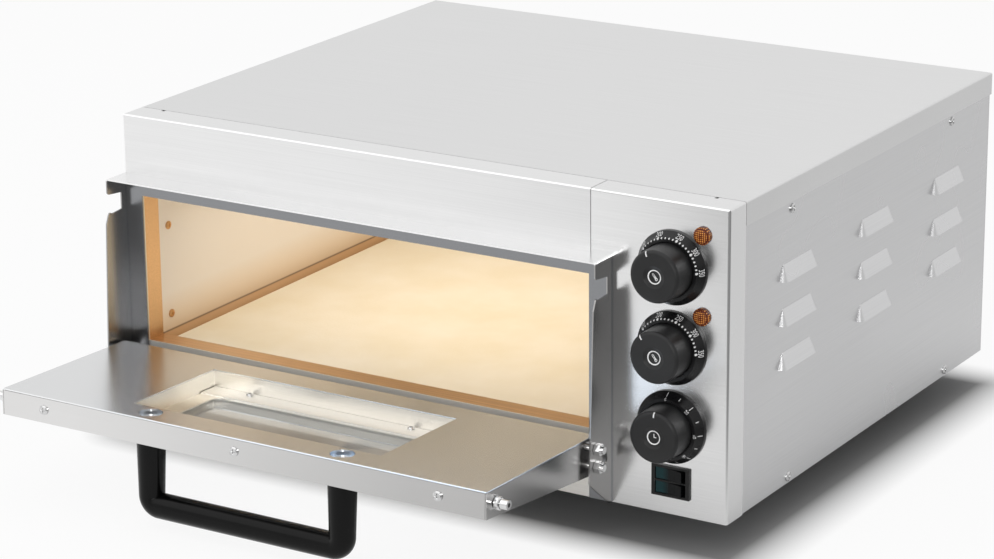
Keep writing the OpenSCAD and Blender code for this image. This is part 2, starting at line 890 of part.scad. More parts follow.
// A thermostat: a body on a folded bracket whose two arms reach forward to the panel
module thermostat(z) {
    arm_end = thermostat_front + 2.5 + bracket_t;
    color("beige")
        placed()
            translate([dial_x, 0, z]) {
                bush(thermostat_front + bush_in);
                difference() {
                    block([-thermostat_w / 2, thermostat_front, -thermostat_h / 2],
                        [thermostat_w / 2, thermostat_back, thermostat_h / 2]);
                    rod_y(bush_r, 0, thermostat_front + bush_in);
                }
                difference() {
                    block([-bracket_w / 2, sheet, -bracket_h / 2],
                        [bracket_w / 2, sheet + bracket_t, bracket_h / 2]);
                    rod_y(bush_r, 0, thermostat_front);
                }
                for (turn = [0, 180])
                    rotate([0, turn, 0]) {
                        block([-bracket_w / 2, sheet + bracket_t, bracket_h / 2 - bracket_t],
                            [bracket_w / 2, arm_end, bracket_h / 2]);
                        block([-bracket_w / 2, arm_end - bracket_t, thermostat_h / 2],
                            [bracket_w / 2, arm_end, bracket_h / 2]);
                    }
            }
}

module thermostat_top() {
    thermostat(dial_z_all[2]);
}

module thermostat_bottom() {
    thermostat(dial_z_all[1]);
}

timer_r = 23;
timer_arm_h = 16;
bell_r = 7;
bell_d = 8;
timer_back = thermostat_back + 6;
module timer() {
    color("beige")
        placed()
            translate([dial_x, 0, dial_z_all[0]]) {
                bush(thermostat_front + bush_in);
                difference() {
                    union() {
                        rod_y(timer_r, thermostat_front, timer_back);
                        block([-timer_r - 1, sheet, -timer_arm_h / 2],
                            [timer_r + 1, thermostat_front, timer_arm_h / 2]);
                    }
                    rod_y(bush_r, 0, thermostat_front + bush_in);
                }
                translate([0, 0, timer_arm_h / 2])
                    rod_y(bell_r, timer_back, timer_back + bell_d);
            }
}

// Bezels of the three dials: conical rings that stand fixed on the panel round the knobs
module dial_bezels() {
    color("black")
        placed()
            for (z = dial_z_all)
                translate([dial_x, 0, z])
                    rotate([90, 0, 0])
                        rotate_extrude($fn = 96)
                            polygon([[bush_r + fit_gap, 0], [bezel_r, 0], [bezel_r, 2], [bezel_r - 2.3, 5.3],
                                [bezel_r - 4.5, bezel_d], [bezel_in, bezel_d], [bezel_in, knob_back - 1.5],
                                [bush_r + fit_gap, knob_back - 1.5]]);
}

dimple_r = 9;                                  // radius of the hollow in a knob's face
dimple_d = 2.2;
dimple_sphere = (dimple_r * dimple_r + dimple_d * dimple_d) / (2 * dimple_d);
knob_soft = 3;                                 // rounding between a knob's side and its face
knob_draft = 0.6;                              // how much a knob is narrower at its face
module knob() {
    front_r = knob_r - knob_draft - knob_soft;
    difference() {
        rotate([90, 0, 0])
            rotate_extrude($fn = 96)
                polygon(concat([[0, knob_back], [knob_r - 0.5, knob_back], [knob_r, bezel_d]],
                    arc([front_r, knob_out - knob_soft], knob_soft, 0, 90, 8), [[0, knob_out]]));
        translate([0, -knob_out + dimple_d - dimple_sphere, 0])
            sphere(r = dimple_sphere);
        rod_y(shaft_r + shaft_play, -shaft_end, 0);
    }
}

module knob_shaft(z) {
    color("silver")
        placed()
            translate([dial_x, 0, z])
                rod_y(shaft_r, -shaft_end + fit_gap, thermostat_front);
}

module shaft_top() {
    knob_shaft(dial_z_all[2]);
}

module shaft_bottom() {
    knob_shaft(dial_z_all[1]);
}

module shaft_timer() {
    knob_shaft(dial_z_all[0]);
}

module knob_top() {
    color("black")
        placed()
            translate([dial_x, 0, dial_z_all[2]])
                knob();
}

module knob_bottom() {
    color("black")
        placed()
            translate([dial_x, 0, dial_z_all[1]])
                knob();
}

module knob_timer() {
    color("black")
        placed()
            translate([dial_x, 0, dial_z_all[0]])
                knob();
}

lamp_body_r = 5;
lamp_len = 24;                                 // how far a lamp's body reaches behind the panel
module at_lamps() {
    for (z = [dial_z_all[1], dial_z_all[2]])
        translate([dial_x + lamp_side, 0, z + lamp_up])
            children();
}

module lamp_bodies() {
    color("white")
        placed()
            at_lamps()
                difference() {
                    union() {
                        rod_y(lamp_body_r, -1, lamp_len);
                        rod_y(lamp_body_r + 1.5, sheet, sheet + 3);
                    }
                    rod_y(lamp_body_r - 1.2, -2, 0.75 * lamp_len);
                }
}

module lamp_lenses() {
    color("orange")
        placed()
            at_lamps()
                rotate([90, 0, 0])
                    rotate_extrude()
                        polygon([[0, 1.2], [lamp_body_r + fit_gap, 1.2], [lamp_body_r + fit_gap, 0],
                            [lamp_r, 0], [lamp_r, 2], [lamp_r - 1.2, 3.2], [lamp_r - 2.5, 3.8], [0, 4.4]]);
}

switch_in_w = switch_w - 4;                    // the switch's body passes through the panel behind its bezel
switch_in_h = switch_h - 1.5;
switch_d = 22;                                 // depth of the switch behind the panel
blade_w = 4.8;                                 // width of a terminal blade
blade_out = 8;
blade_pitch = 9;
rocker_w = switch_w - 9;
rocker_h = (switch_h - 7.1) / 2;
rocker_side = 0.4;                             // gap above and below a rocker
rocker_rib = 1.4;                              // rib between the rockers
rocker_pin_r = 1.2;
rocker_axis_y = 4;
cavity_w = rocker_w + 2.6;
cavity_h = rocker_h + 2 * rocker_side;
rocker_up = (cavity_h + rocker_rib) / 2;
module switch_housing() {
    color("black")
        placed()
            translate([dial_x, 0, switch_z])
                difference() {
                    union() {
                        block([-switch_w / 2, -2, -switch_h / 2], [switch_w / 2, 0, switch_h / 2]);
                        block([-switch_in_w / 2, 0, -switch_in_h / 2],
                            [switch_in_w / 2, switch_d, switch_in_h / 2]);
                        for (x = [-blade_pitch, 0, blade_pitch])
                            for (z = [-rocker_up, rocker_up])
                                block([x - blade_w / 2, switch_d, z - 0.4],
                                    [x + blade_w / 2, switch_d + blade_out, z + 0.4]);
                    }
                    for (z = [-rocker_up, rocker_up])
                        block([-cavity_w / 2, -3, z - cavity_h / 2], [cavity_w / 2, 14, z + cavity_h / 2]);
                    translate([0, rocker_axis_y, -rocker_up - cavity_h / 2 - 0.6])
                        cylinder(r = rocker_pin_r + 0.05, h = 2 * rocker_up + cavity_h + 1.2);
                }
}

// A rocker tilted to its off side, with the stub pins that it tilts on
module rocker(z) {
    color("teal")
        placed()
            translate([dial_x, rocker_axis_y, switch_z + z])
                rotate([0, 0, -rocker_swing / 2]) {
                    translate([0, 0, -rocker_h / 2])
                        linear_extrude(height = rocker_h)
                            polygon([[-rocker_w / 2, -7], [-rocker_w / 4, -6.1], [0, -5.8],
                                [rocker_w / 4, -6.1], [rocker_w / 2, -7], [rocker_w / 2 - 1.5, 2], [0, 4],
                                [-rocker_w / 2 + 1.5, 2]]);
                    translate([0, 0, -cavity_h / 2 - 0.45])
                        cylinder(r = rocker_pin_r, h = cavity_h + 0.9);
                }
}

module rocker_upper() {
    rocker(rocker_up);
}

module rocker_lower() {
    rocker(-rocker_up);
}

terminal_pitch = 14;                           // distance between the three terminals
terminal_d = 22;
terminal_in = 91;                              // distance of the terminal block's front from the casing's rear
terminal_y = body_d - terminal_in;
module terminal_block() {
    color("ivory")
        placed()
            difference() {
                block([dial_x - 1.5 * terminal_pitch, terminal_y, sheet + rest_gap],
                    [dial_x + 1.5 * terminal_pitch, terminal_y + terminal_d, 24]);
                for (i = [-1:1])
                    translate([dial_x + i * terminal_pitch, terminal_y - 1, 14])
                        rod_y(3, 0, terminal_d + 2);
            }
}

gland_shank_r = 8;
// Cable gland: hexagon and domed cap outside, lock nut inside, bored right through
module cable_gland() {
    color("black")
        placed()
            translate([dial_x, 0, gland_z])
                difference() {
                    union() {
                        rod_y(gland_shank_r, rear_in - 10, rear_face + 2);
                        translate([0, rear_face, 0])
                            rotate([-90, 0, 0]) {
                                cylinder(r = gland_r, h = gland_out * 0.45, $fn = 6);
                                cylinder(r1 = gland_r * 0.86, r2 = gland_r * 0.7, h = gland_out);
                            }
                        translate([0, rear_in, 0])
                            rotate([90, 0, 0])
                                cylinder(r = gland_r, h = 5, $fn = 6);
                    }
                    rod_y(gland_bore, rear_in - 11, rear_face + gland_out + 1);
                }
}

// ---------------------------------------------------------------- feet and fasteners

foot_sink = 10;                                // depth of the counterbore under a foot
module feet() {
    color("black")
        placed()
            at_feet()
                rotate_extrude()
                    polygon([[foot_hole_r, 0], [foot_r, 0], [foot_r, -3], [foot_r - 3, -feet_h + 2],
                        [foot_r - 5, -feet_h], [8, -feet_h], [8, -feet_h + foot_sink],
                        [foot_hole_r, -feet_h + foot_sink]]);
}

module foot_screws() {
    color("silver")
        placed()
            at_feet() {
                translate([0, 0, -feet_h + foot_sink - 3])
                    cylinder(r = 5, h = 3);
                translate([0, 0, -feet_h + foot_sink - slit])
                    cylinder(r = foot_hole_r - 0.2, h = feet_h - foot_sink + 8);
                translate([0, 0, sheet])
                    cylinder(r = 5.5, h = 4, $fn = 6);
            }
}

module side_screws() {
    color("gray")
        placed()
            for (side = [-1, 1])
                at_side_screws(side)
                    pan_screw(head_r, screw_r, 3 * sheet + fit_gap);
}

module rear_screws() {
    color("gray")
        placed()
            at_rear_screws()
                translate([0, rear_face, 0])
                    rotate([-90, 0, 0])
                        pan_screw(head_r, screw_r, 4);
}

module chamber_screws() {
    color("silver")
        placed()
            for (z = chamber_screw_z) {
                translate([opening_x0, chamber_screw_y, z])
                    rotate([0, 90, 0])
                        pan_screw(head_r - 0.5, screw_r, liner_t);
                translate([opening_x1, chamber_screw_y, z])
                    rotate([0, -90, 0])
                        pan_screw(head_r - 0.5, screw_r, liner_t);
            }
}

// ---------------------------------------------------------------- door

corner_r = 3;                                  // rounding of the door's lower rear edge
skin_gap = 0.1;                                // clearance between pieces of the door
skin_seam = 0.3;                               // visible seam between the two skins
door_bend = 0.7;                               // outer radius of the inner skin's edges
// Side view of the door between the faces at u = -big and u = u1, with its thickness reduced by inset
module door_outline(inset, u1) {
    lo = -door_drop + inset;
    hi = door_rise - inset;
    back = door_back - inset;
    r = corner_r - inset;
    intersection() {
        union() {
            polygon([[face_u(lo) + inset, lo], [back - r, lo], [back - r, lo + r], [back, lo + r], [back, hi],
                [face_u(hi) + inset, hi]]);
            translate([back - r, lo + r])
                circle(r = r);
        }
        polygon([[-2 * door_thick, -2 * door_drop], [u1, -2 * door_drop], [u1, 2 * door_rise],
            [-2 * door_thick, 2 * door_rise]]);
    }
}

// Holes for the handle's screws and, in the side walls, for the hinge bolts, stop bolts and latch screws
module at_handle() {
    for (side = [-1, 1])
        translate([door_mid + side * handle_span / 2 - handle_shift, 0, handle_v])
            children();
}

handle_shift = 0.25;                           // the handle stands this far left of the door's middle
handle_screw_r = 3;
stop_u = stop_r * sin(open_angle);
stop_v = stop_r * cos(open_angle);
latch_screw_r = 2;
module side_holes(x0, x1) {
    rod_x(bolt_r + skin_gap, x0, x1);
    translate([0, stop_u, stop_v])
        rod_x(bolt_r + skin_gap, x0, x1);
    translate([0, roller_u, roller_v])
        rod_x(latch_screw_r + skin_gap, x0, x1);
}

edge_u = (door_back + face_u(door_rise)) / 2;  // middle of the free edge
edge_in = 42.3;                                // distance of the outer edge screws from the door's sides
edge_step = (door_x1 - door_x0) / 2 - edge_in;
module at_edge_screws() {
    for (i = [-1:1])
        translate([door_mid + i * edge_step, edge_u, door_rise])
            children();
}

// A window-shaped block, as wide and high as the clear window grown on every side
module window_block(grow, u0, u1) {
    translate([door_mid, 0, window_v + window_h / 2])
        plate_y(u0, u1)
            round_rect(window_w + 2 * grow, window_h + 2 * grow, window_r + grow / 2);
}

module door_outer_skin() {
    color("silver")
        on_door()
            difference() {
                plate_x(door_x0, door_x1)
                    door_outline(0, door_back - door_t - skin_seam);
                plate_x(door_x0 + door_t, door_x1 - door_t)
                    door_outline(door_t, door_back);
                window_block(2, -door_thick, door_back - well_d - door_t - glass_t);
                at_handle()
                    rod_y(handle_screw_r + skin_gap, -door_thick, door_back / 2);
                side_holes(door_x0 - 1, door_x1 + 1);
                for (x = [door_x0 + door_t, door_x1 - door_t - skin_seam])
                    block([x, -door_thick, door_rise - door_t - slit],
                        [x + skin_seam, door_back, door_rise + 1]);
                at_edge_screws()
                    translate([0, 0, -2 * door_t])
                        cylinder(r = screw_hole_r, h = 4 * door_t);
            }
}

cup_d = 6;                                     // depth of a screw cup
well_x0 = door_mid - well_w / 2;
well_x1 = door_mid + well_w / 2;
flange_d = 14;                                 // depth of the inner skin's fold behind the free edge
fold_in = 20;                                  // distance of the fold's ends from the door's sides
module door_inner_skin() {
    color("silver")
        on_door()
            difference() {
                union() {
                    intersection() {
                        plate_x(door_x0, door_x1)
                            door_outline(0, door_back);
                        soft_block([door_x0, door_back, door_rise],
                            [door_x1 + 1, door_back - door_t, -door_drop - 1], door_bend);
                        soft_block([door_x1, door_back, door_rise],
                            [door_x0 - 1, door_back - door_t, -door_drop - 1], door_bend);
                    }
                    block([door_x0 + fold_in, door_back - flange_d, door_rise - 2 * door_t - skin_gap],
                        [door_x1 - fold_in, door_back - door_t / 2, door_rise - door_t - skin_gap]);
                    at_handle()
                        rod_y(cup_r + door_t, door_back - cup_d - door_t, door_back - door_t / 2);
                }
                block([well_x0, 0, well_v], [well_x1, door_back + 1, well_v + well_h]);
                at_handle() {
                    rod_y(cup_r, door_back - cup_d, door_back + 1);
                    rod_y(handle_screw_r + skin_gap, 0, door_back);
                }
                at_edge_screws()
                    translate([0, 0, -3 * door_t])
                        cylinder(r = screw_hole_r, h = 4 * door_t);
            }
}

glass_lap = 9;                                 // how far the glass reaches beyond the clear window
wool_window = 1 + max(well_w / 2 + door_t, window_w / 2 + glass_lap);
module door_insulation() {
    color("lightyellow")
        on_door()
            difference() {
                intersection() {
                    plate_x(door_x0 + 14, door_x1 - 14)
                        door_outline(door_t + 0.4, door_back - door_t - 0.4);
                    block([0, -door_thick, -door_drop], [frame_w, door_back, door_rise - 16]);
                }
                block([door_mid - wool_window, -door_thick, well_v - door_t - 1],
                    [door_mid + wool_window, door_back, well_v + well_h + door_t + 1]);
                at_handle()
                    rod_y(cup_r + door_t + 0.5, -door_thick, door_back);
            }
}

// Folded tray round the window: four walls down from the inner skin, and a floor with the clear opening
module window_well() {
    color("tan")
        on_door()
            difference() {
                block([well_x0 - door_t, door_back - well_d - door_t, well_v - door_t],
                    [well_x1 + door_t, door_back - door_t - skin_gap, well_v + well_h + door_t]);
                block([well_x0, door_back - well_d, well_v], [well_x1, door_back, well_v + well_h]);
                window_block(0, -1, door_back);
                at_window_screws()
                    rod_y(screw_r - 0.4, 0, door_back);
            }
}

clip_t = 1.2;                                  // thickness of the strip that holds the glass
window_screw_span = 156;
module at_window_screws() {
    for (side = [-1, 1])
        translate([door_mid + side * window_screw_span / 2, 0, well_v + 5])
            children();
}

module window_clip() {
    color("silver")
        on_door()
            difference() {
                block([well_x0 + 1, door_back - well_d, well_v + 0.3],
                    [well_x1 - 1, door_back - well_d + clip_t, window_v - 0.5]);
                at_window_screws()
                    rod_y(screw_r - 0.4, 0, door_back);
            }
}

module window_screws() {
    color("gray")
        on_door()
            at_window_screws()
                translate([0, door_back - well_d + clip_t, 0])
                    rotate([-90, 0, 0])
                        pan_screw(head_r - 1, screw_r - 0.5, 5);
}

module door_glass() {
    color("lightcyan", 0.4)
        on_door()
            block([door_mid - window_w / 2 - glass_lap, door_back - well_d - door_t - skin_gap - glass_t,
                window_v - glass_lap], [door_mid + window_w / 2 + glass_lap,
                door_back - well_d - door_t - skin_gap, window_v + window_h + glass_lap]);
}

module handle() {
    half = handle_span / 2;
    leg_end = handle_reach + face_u(handle_v - leg_r) - skin_gap;
    color("black")
        on_door()
            translate([door_mid - handle_shift, -handle_reach, handle_v]) {
                rod_x(grip_r, bend_r - half, half - bend_r);
                for (side = [-1, 1]) {
                    translate([side * (half - bend_r), bend_r, 0])
                        rotate([0, 0, side > 0 ? -90 : 180])
                            rotate_extrude(angle = 90, $fn = 96)
                                intersection() {
                                    translate([bend_r, 0])
                                        circle(r = grip_r);
                                    span([0, -2 * grip_r], [2 * handle_span, 2 * grip_r]);
                                }
                    translate([side * half, 0, 0])
                        difference() {
                            translate([0, leg_end, 0])
                                rotate([90, 0, 0])
                                    cylinder(r1 = leg_r, r2 = grip_r, h = leg_end - bend_r);
                            rod_y(handle_screw_r, handle_reach - thread_depth, leg_end + 1);
                        }
                }
            }
}

thread_depth = 18;                             // depth of the threaded holes in the handle's legs
handle_head_h = 3;
module handle_screws() {
    color("gray")
        on_door()
            at_handle() {
                rod_y(handle_screw_r - skin_gap / 2, 2 - thread_depth, door_back - cup_d + slit);
                rod_y(handle_screw_r + 2.5, door_back - cup_d, door_back - cup_d + handle_head_h);
            }
}

module edge_screws() {
    color("gray")
        on_door()
            at_edge_screws()
                pan_screw(head_r, screw_r, 8);
}

nut_r = 5;
nut_h = 5;
// A bolt out of each side of the door and through the cheek, with a head inside and a nut outside
module side_bolts() {
    for (side = [0, 1]) {
        x_side = side == 0 ? door_x0 : door_x1;
        translate([x_side, 0, 0])
            rotate([0, side == 0 ? -90 : 90, 0]) {
                translate([0, 0, -door_t - 3])
                    cylinder(r = nut_r, h = 3 - skin_gap);
                translate([0, 0, -door_t - 1])
                    cylinder(r = bolt_r, h = stud_reach + door_t + 1);
                translate([0, 0, door_gap + frame_t + 0.3])
                    cylinder(r = nut_r, h = nut_h, $fn = 6);
            }
    }
}

module hinge_bolts() {
    color("silver")
        on_door()
            side_bolts();
}

module stop_bolts() {
    color("silver")
        on_door()
            translate([0, stop_u, stop_v])
                side_bolts();
}

roller_play = 0.05;
roller_gap = 1.5;                              // distance of a roller from the door's side
roller_clear = 0.3;                            // gap at each end of a roller
latch_head_r = 3.8;                            // radius of the socket head outside a roller
socket_r = 1.9;
socket_d = 3.5;
module latch_screws() {
    head_z = roller_gap + roller_len + roller_clear;
    color("silver")
        on_door()
            translate([0, roller_u, roller_v])
                for (side = [0, 1])
                    translate([side == 0 ? door_x0 : door_x1, 0, 0])
                        rotate([0, side == 0 ? -90 : 90, 0]) {
                            cylinder(r = roller_r + 1, h = roller_gap - roller_clear);
                            translate([0, 0, -6])
                                cylinder(r = latch_screw_r, h = 6 + head_z + slit);
                            difference() {
                                translate([0, 0, head_z])
                                    cylinder(r = latch_head_r, h = stud_reach - head_z);
                                translate([0, 0, stud_reach - socket_d])
                                    cylinder(r = socket_r, h = socket_d + 1, $fn = 6);
                            }
                        }
}

// A roller with chamfered ends, bored for its screw
module latch_roller(x0) {
    color("silver")
        on_door()
            translate([x0, roller_u, roller_v])
                rotate([0, 90, 0])
                    rotate_extrude()
                        polygon([[latch_screw_r + roller_play, 0], [roller_r - 0.8, 0], [roller_r, 0.8],
                            [roller_r, roller_len - 0.8], [roller_r - 0.8, roller_len],
                            [latch_screw_r + roller_play, roller_len]]);
}

module latch_roller_left() {
    latch_roller(door_x0 - roller_gap - roller_len);
}

module latch_roller_right() {
    latch_roller(door_x1 + roller_gap);
}

base_pan();
left_side_panel();
right_side_panel();
rear_panel();
top_cover();
hood_fascia();
control_panel();
lower_front_panel();
door_frame();
chamber_collar();
chamber_liner();
stone_rails();
baking_stone();
top_element();
bottom_element();
element_hangers();
insulation_top();
insulation_bottom();
insulation_left();
insulation_right();
insulation_rear();
partition();
thermostat_top();
thermostat_bottom();
timer();
sensor_bulbs();
dial_bezels();
lamp_bodies();
lamp_lenses();
switch_housing();
terminal_block();
cable_gland();
feet();
foot_screws();
side_screws();
rear_screws();
chamber_screws();
door_outer_skin();
door_inner_skin();
door_insulation();
window_well();
window_clip();
door_glass();
window_screws();
handle();
handle_screws();
edge_screws();
hinge_bolts();
stop_bolts();
latch_screws();
latch_roller_left();
latch_roller_right();
shaft_top();
knob_top();
shaft_bottom();
knob_bottom();
shaft_timer();
knob_timer();
rocker_upper();
rocker_lower();
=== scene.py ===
"""Looks of a countertop electric pizza oven: finishes, printed marks, lamps, floor, light and camera.

Lengths are written in millimetres in the casing's own coordinates: x from the left side, y from the
front panel backwards, z from the underside of the casing. at() turns them into the frame's metres.
"""

import math

import bmesh
import bpy
from mathutils import Matrix, Vector


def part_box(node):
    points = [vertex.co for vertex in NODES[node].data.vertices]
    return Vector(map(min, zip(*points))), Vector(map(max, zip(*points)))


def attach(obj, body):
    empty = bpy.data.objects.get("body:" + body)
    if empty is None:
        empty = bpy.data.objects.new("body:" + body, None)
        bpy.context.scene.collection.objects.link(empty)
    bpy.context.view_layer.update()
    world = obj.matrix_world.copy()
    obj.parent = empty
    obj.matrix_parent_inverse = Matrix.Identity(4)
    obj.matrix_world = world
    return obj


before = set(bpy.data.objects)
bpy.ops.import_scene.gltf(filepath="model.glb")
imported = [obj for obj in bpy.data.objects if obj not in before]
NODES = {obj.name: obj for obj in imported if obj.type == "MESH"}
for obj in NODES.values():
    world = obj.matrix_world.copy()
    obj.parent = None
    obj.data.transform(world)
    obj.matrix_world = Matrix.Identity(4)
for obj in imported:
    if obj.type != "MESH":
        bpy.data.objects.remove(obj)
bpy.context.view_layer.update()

MM = 0.001
panel_low, panel_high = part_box("control_panel")
CASING_WIDTH = 568
ORIGIN = Vector((panel_high.x - CASING_WIDTH * MM, panel_low.y, panel_low.z))
TABLE_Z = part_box("feet")[0].z


def at(x, y, z):
    """A point of the casing, in the frame's metres."""
    return ORIGIN + Vector((x, y, z)) * MM


def centre(node):
    low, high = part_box(node)
    return (low + high) / 2


# ---------------------------------------------------------------- materials

NOISE_ROUGHNESS = 0.55


class Finish:
    """A node material under construction, with short helpers for its procedural parts."""

    def __init__(self, name, color, metallic=0.0, roughness=0.5):
        self.mat = bpy.data.materials.new(name)
        self.mat.use_nodes = True
        self.tree = self.mat.node_tree
        self.shader = self.tree.nodes["Principled BSDF"]
        self.color = color
        self.set("Base Color", (*color, 1.0))
        self.set("Metallic", metallic)
        self.set("Roughness", roughness)

    def set(self, socket, value):
        self.shader.inputs[socket].default_value = value

    def node(self, kind, **values):
        made = self.tree.nodes.new(kind)
        for key, value in values.items():
            setattr(made, key, value)
        return made

    def link(self, a, b):
        self.tree.links.new(a, b)

    def coords(self, stretch=(1, 1, 1), kind="Object"):
        """Coordinates on the object, stretched by axis."""
        source = self.node("ShaderNodeTexCoord")
        mapping = self.node("ShaderNodeMapping")
        mapping.inputs["Scale"].default_value = stretch
        self.link(source.outputs[kind], mapping.inputs["Vector"])
        return mapping.outputs["Vector"]

    def noise(self, scale, detail=3.0, stretch=(1, 1, 1)):
        """Noise over the object, with a scale in cycles a metre that may differ by axis."""
        texture = self.node("ShaderNodeTexNoise")
        texture.inputs["Scale"].default_value = scale
        texture.inputs["Detail"].default_value = detail
        texture.inputs["Roughness"].default_value = NOISE_ROUGHNESS
        self.link(self.coords(stretch), texture.inputs["Vector"])
        return texture.outputs["Fac"]

    def along(self, axis):
        """How far a point lies along one axis of the object's box, from 0 to 1."""
        split = self.node("ShaderNodeSeparateXYZ")
        self.link(self.coords(kind="Generated"), split.inputs[0])
        return split.outputs[axis]

    def span(self, value, low, high, from_low=0.3, from_high=0.7):
        """The value, moved from one span of numbers to another."""
        remap = self.node("ShaderNodeMapRange")
        remap.inputs["From Min"].default_value = from_low
        remap.inputs["From Max"].default_value = from_high
        remap.inputs["To Min"].default_value = low
        remap.inputs["To Max"].default_value = high
        self.link(value, remap.inputs["Value"])
        return remap.outputs["Result"]

    def tint(self, value, dark, light, low=0.3, high=0.7):
        """Colours the surface from dark to light by a value."""
        ramp = self.node("ShaderNodeValToRGB")
        ramp.color_ramp.elements[0].color = (*dark, 1)
        ramp.color_ramp.elements[1].color = (*light, 1)
        ramp.color_ramp.elements[0].position = low
        ramp.color_ramp.elements[1].position = high
        self.link(value, ramp.inputs["Fac"])
        self.link(ramp.outputs["Color"], self.shader.inputs["Base Color"])

    def mixed(self, factor, a, b):
        """The colour a turned towards b by a factor."""
        mix = self.node("ShaderNodeMix", data_type="RGBA")
        self.link(factor, mix.inputs["Factor"])
        for socket, color in ((mix.inputs[6], a), (mix.inputs[7], b)):
            if isinstance(color, tuple):
                socket.default_value = (*color, 1)
            else:
                self.link(color, socket)
        return mix.outputs[2]

    def rough(self, value, low, high):
        """Lets the roughness follow a value."""
        self.link(self.span(value, low, high), self.shader.inputs["Roughness"])

    def bump(self, value, distance):
        """Raises the surface by a value, up to a distance in metres."""
        bump = self.node("ShaderNodeBump")
        bump.inputs["Distance"].default_value = distance
        bump.inputs["Strength"].default_value = 1.0
        self.link(value, bump.inputs["Height"])
        self.link(bump.outputs["Normal"], self.shader.inputs["Normal"])


def shade(color, factor):
    """A colour made darker or lighter by a factor."""
    return tuple(min(1.0, c * factor) for c in color)


# Cycles a metre of the brushing: few along its lines and many across them
ALONG_X = (8, 1800, 1800)
ALONG_Y = (1800, 8, 1800)
EVERY_WAY = (300, 300, 300)
GRAIN_DEPTH = 0.000006


def brushed(name, color, grain, roughness, contrast=0.03):
    """Brushed metal, with clouds in its roughness."""
    finish = Finish(name, color, metallic=1.0, roughness=roughness)
    lines = finish.noise(1.0, detail=3, stretch=grain)
    clouds = finish.noise(6.0, detail=2)
    finish.tint(lines, shade(color, 1 - contrast), shade(color, 1 + contrast))
    finish.rough(clouds, roughness - 0.02, roughness + 0.03)
    finish.bump(lines, GRAIN_DEPTH)
    return finish.mat


def turning(name, left, right, roughness):
    """Brushed sheet of the door, with painted light: its colour turns from its left to its right end."""
    finish = Finish(name, left, metallic=1.0, roughness=roughness)
    lines = finish.noise(1.0, detail=3, stretch=ALONG_X)
    # the ramp from the left end to the right end is painted light
    painted_light_ramp = finish.mixed(finish.span(finish.along("X"), 0.0, 1.0, 0.15, 0.85), left, right)
    grain = finish.span(lines, 0.0, 0.2)
    dark_grain = shade(left, 0.85)
    finish.link(finish.mixed(grain, painted_light_ramp, dark_grain), finish.shader.inputs["Base Color"])
    finish.bump(lines, GRAIN_DEPTH)
    return finish.mat


def frame_steel():
    """Dark steel of the door's frame on its cheeks, with painted shade that darkens the face plate at the
    back of its box and a painted highlight that makes the lip at the top of it bright."""
    cheeks, face_plate_shade, lip_top_highlight = (0.37, 0.365, 0.36), (0.26, 0.265, 0.275), (0.9, 0.9, 0.9)
    finish = Finish("steel_frame", cheeks, metallic=1.0, roughness=0.24)
    # painted shade darkens the face plate at the back, and a painted highlight lightens the top of the lip
    painted_shade_at_back = finish.span(finish.along("Y"), 0.0, 1.0, 0.94, 0.96)
    painted_highlight_at_top = finish.span(finish.along("Z"), 0.0, 1.0, 0.988, 0.995)
    steel = finish.mixed(painted_shade_at_back, cheeks, face_plate_shade)
    steel = finish.mixed(painted_highlight_at_top, steel, lip_top_highlight)
    finish.link(steel, finish.shader.inputs["Base Color"])
    clouds = finish.noise(6.0, detail=2)
    finish.rough(clouds, 0.2, 0.27)
    finish.bump(clouds, 0.00002)
    return finish.mat


def plastic(name, color, roughness, grain=700, depth=0.00003, shine=0.5):
    """Moulded plastic with a fine leathery grain."""
    finish = Finish(name, color, roughness=roughness)
    finish.set("Specular IOR Level", shine)
    pores = finish.noise(grain, detail=2)
    finish.tint(finish.noise(30, detail=2), shade(color, 0.85), shade(color, 1.2))
    finish.rough(pores, roughness - 0.04, roughness + 0.06)
    finish.bump(pores, depth)
    return finish.mat


def wool():
    """Ceramic wool."""
    finish = Finish("wool", (0.86, 0.83, 0.74), roughness=0.95)
    fibres = finish.noise(160, detail=6, stretch=(1, 1, 3))
    finish.tint(fibres, (0.72, 0.68, 0.57), (0.92, 0.9, 0.82))
    finish.bump(fibres, 0.001)
    return finish.mat


def stone():
    """Baking stone, in patches of two tones."""
    finish = Finish("stone", (0.93, 0.83, 0.64), roughness=0.85)
    grains = finish.noise(420, detail=5)
    finish.tint(finish.noise(14, detail=4), (0.89, 0.78, 0.57), (0.95, 0.86, 0.69))
    finish.bump(grains, 0.0002)
    return finish.mat


def enamel():
    """Pale enamel, warmer near the floor and brown below the level of the stone, with a thin band of
    painted shade where the wall meets the stone.
    """
    brown, crease_shade, warm, pale = (0.8, 0.49, 0.24), (0.2, 0.1, 0.05), (0.84, 0.64, 0.42), (0.9, 0.82, 0.71)
    worn = (0.84, 0.74, 0.62)
    finish = Finish("chamber_enamel", (0.9, 0.8, 0.67), roughness=0.38)
    low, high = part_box("chamber_liner")
    stone_level = (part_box("baking_stone")[1].z - low.z) / (high.z - low.z)
    ramp = finish.node("ShaderNodeValToRGB")
    stops = ramp.color_ramp.elements
    stops[0].position = stone_level - 0.002
    stops[0].color = (*brown, 1)
    stops[1].position = 0.45
    stops[1].color = (*pale, 1)
    # the thin dark band at the stone's level is painted shade in the crease between the wall and the stone
    for above, color in ((0.0, crease_shade), (0.005, crease_shade), (0.008, warm)):
        stops.new(stone_level + above).color = (*color, 1)
    finish.link(finish.along("Z"), ramp.inputs["Fac"])
    patches = finish.mixed(finish.span(finish.noise(9, detail=3), 0.0, 0.12), ramp.outputs["Color"], worn)
    finish.link(patches, finish.shader.inputs["Base Color"])
    finish.bump(finish.noise(260, detail=2), 0.00003)
    return finish.mat


def glass():
    """Clear glass of the window."""
    finish = Finish("window_glass", (0.97, 0.99, 0.985), roughness=0.03)
    finish.set("Transmission Weight", 0.9)
    finish.set("IOR", 1.45)
    finish.rough(finish.noise(40, detail=2), 0.02, 0.06)
    return finish.mat


PYRAMIDS_A_METRE = 620


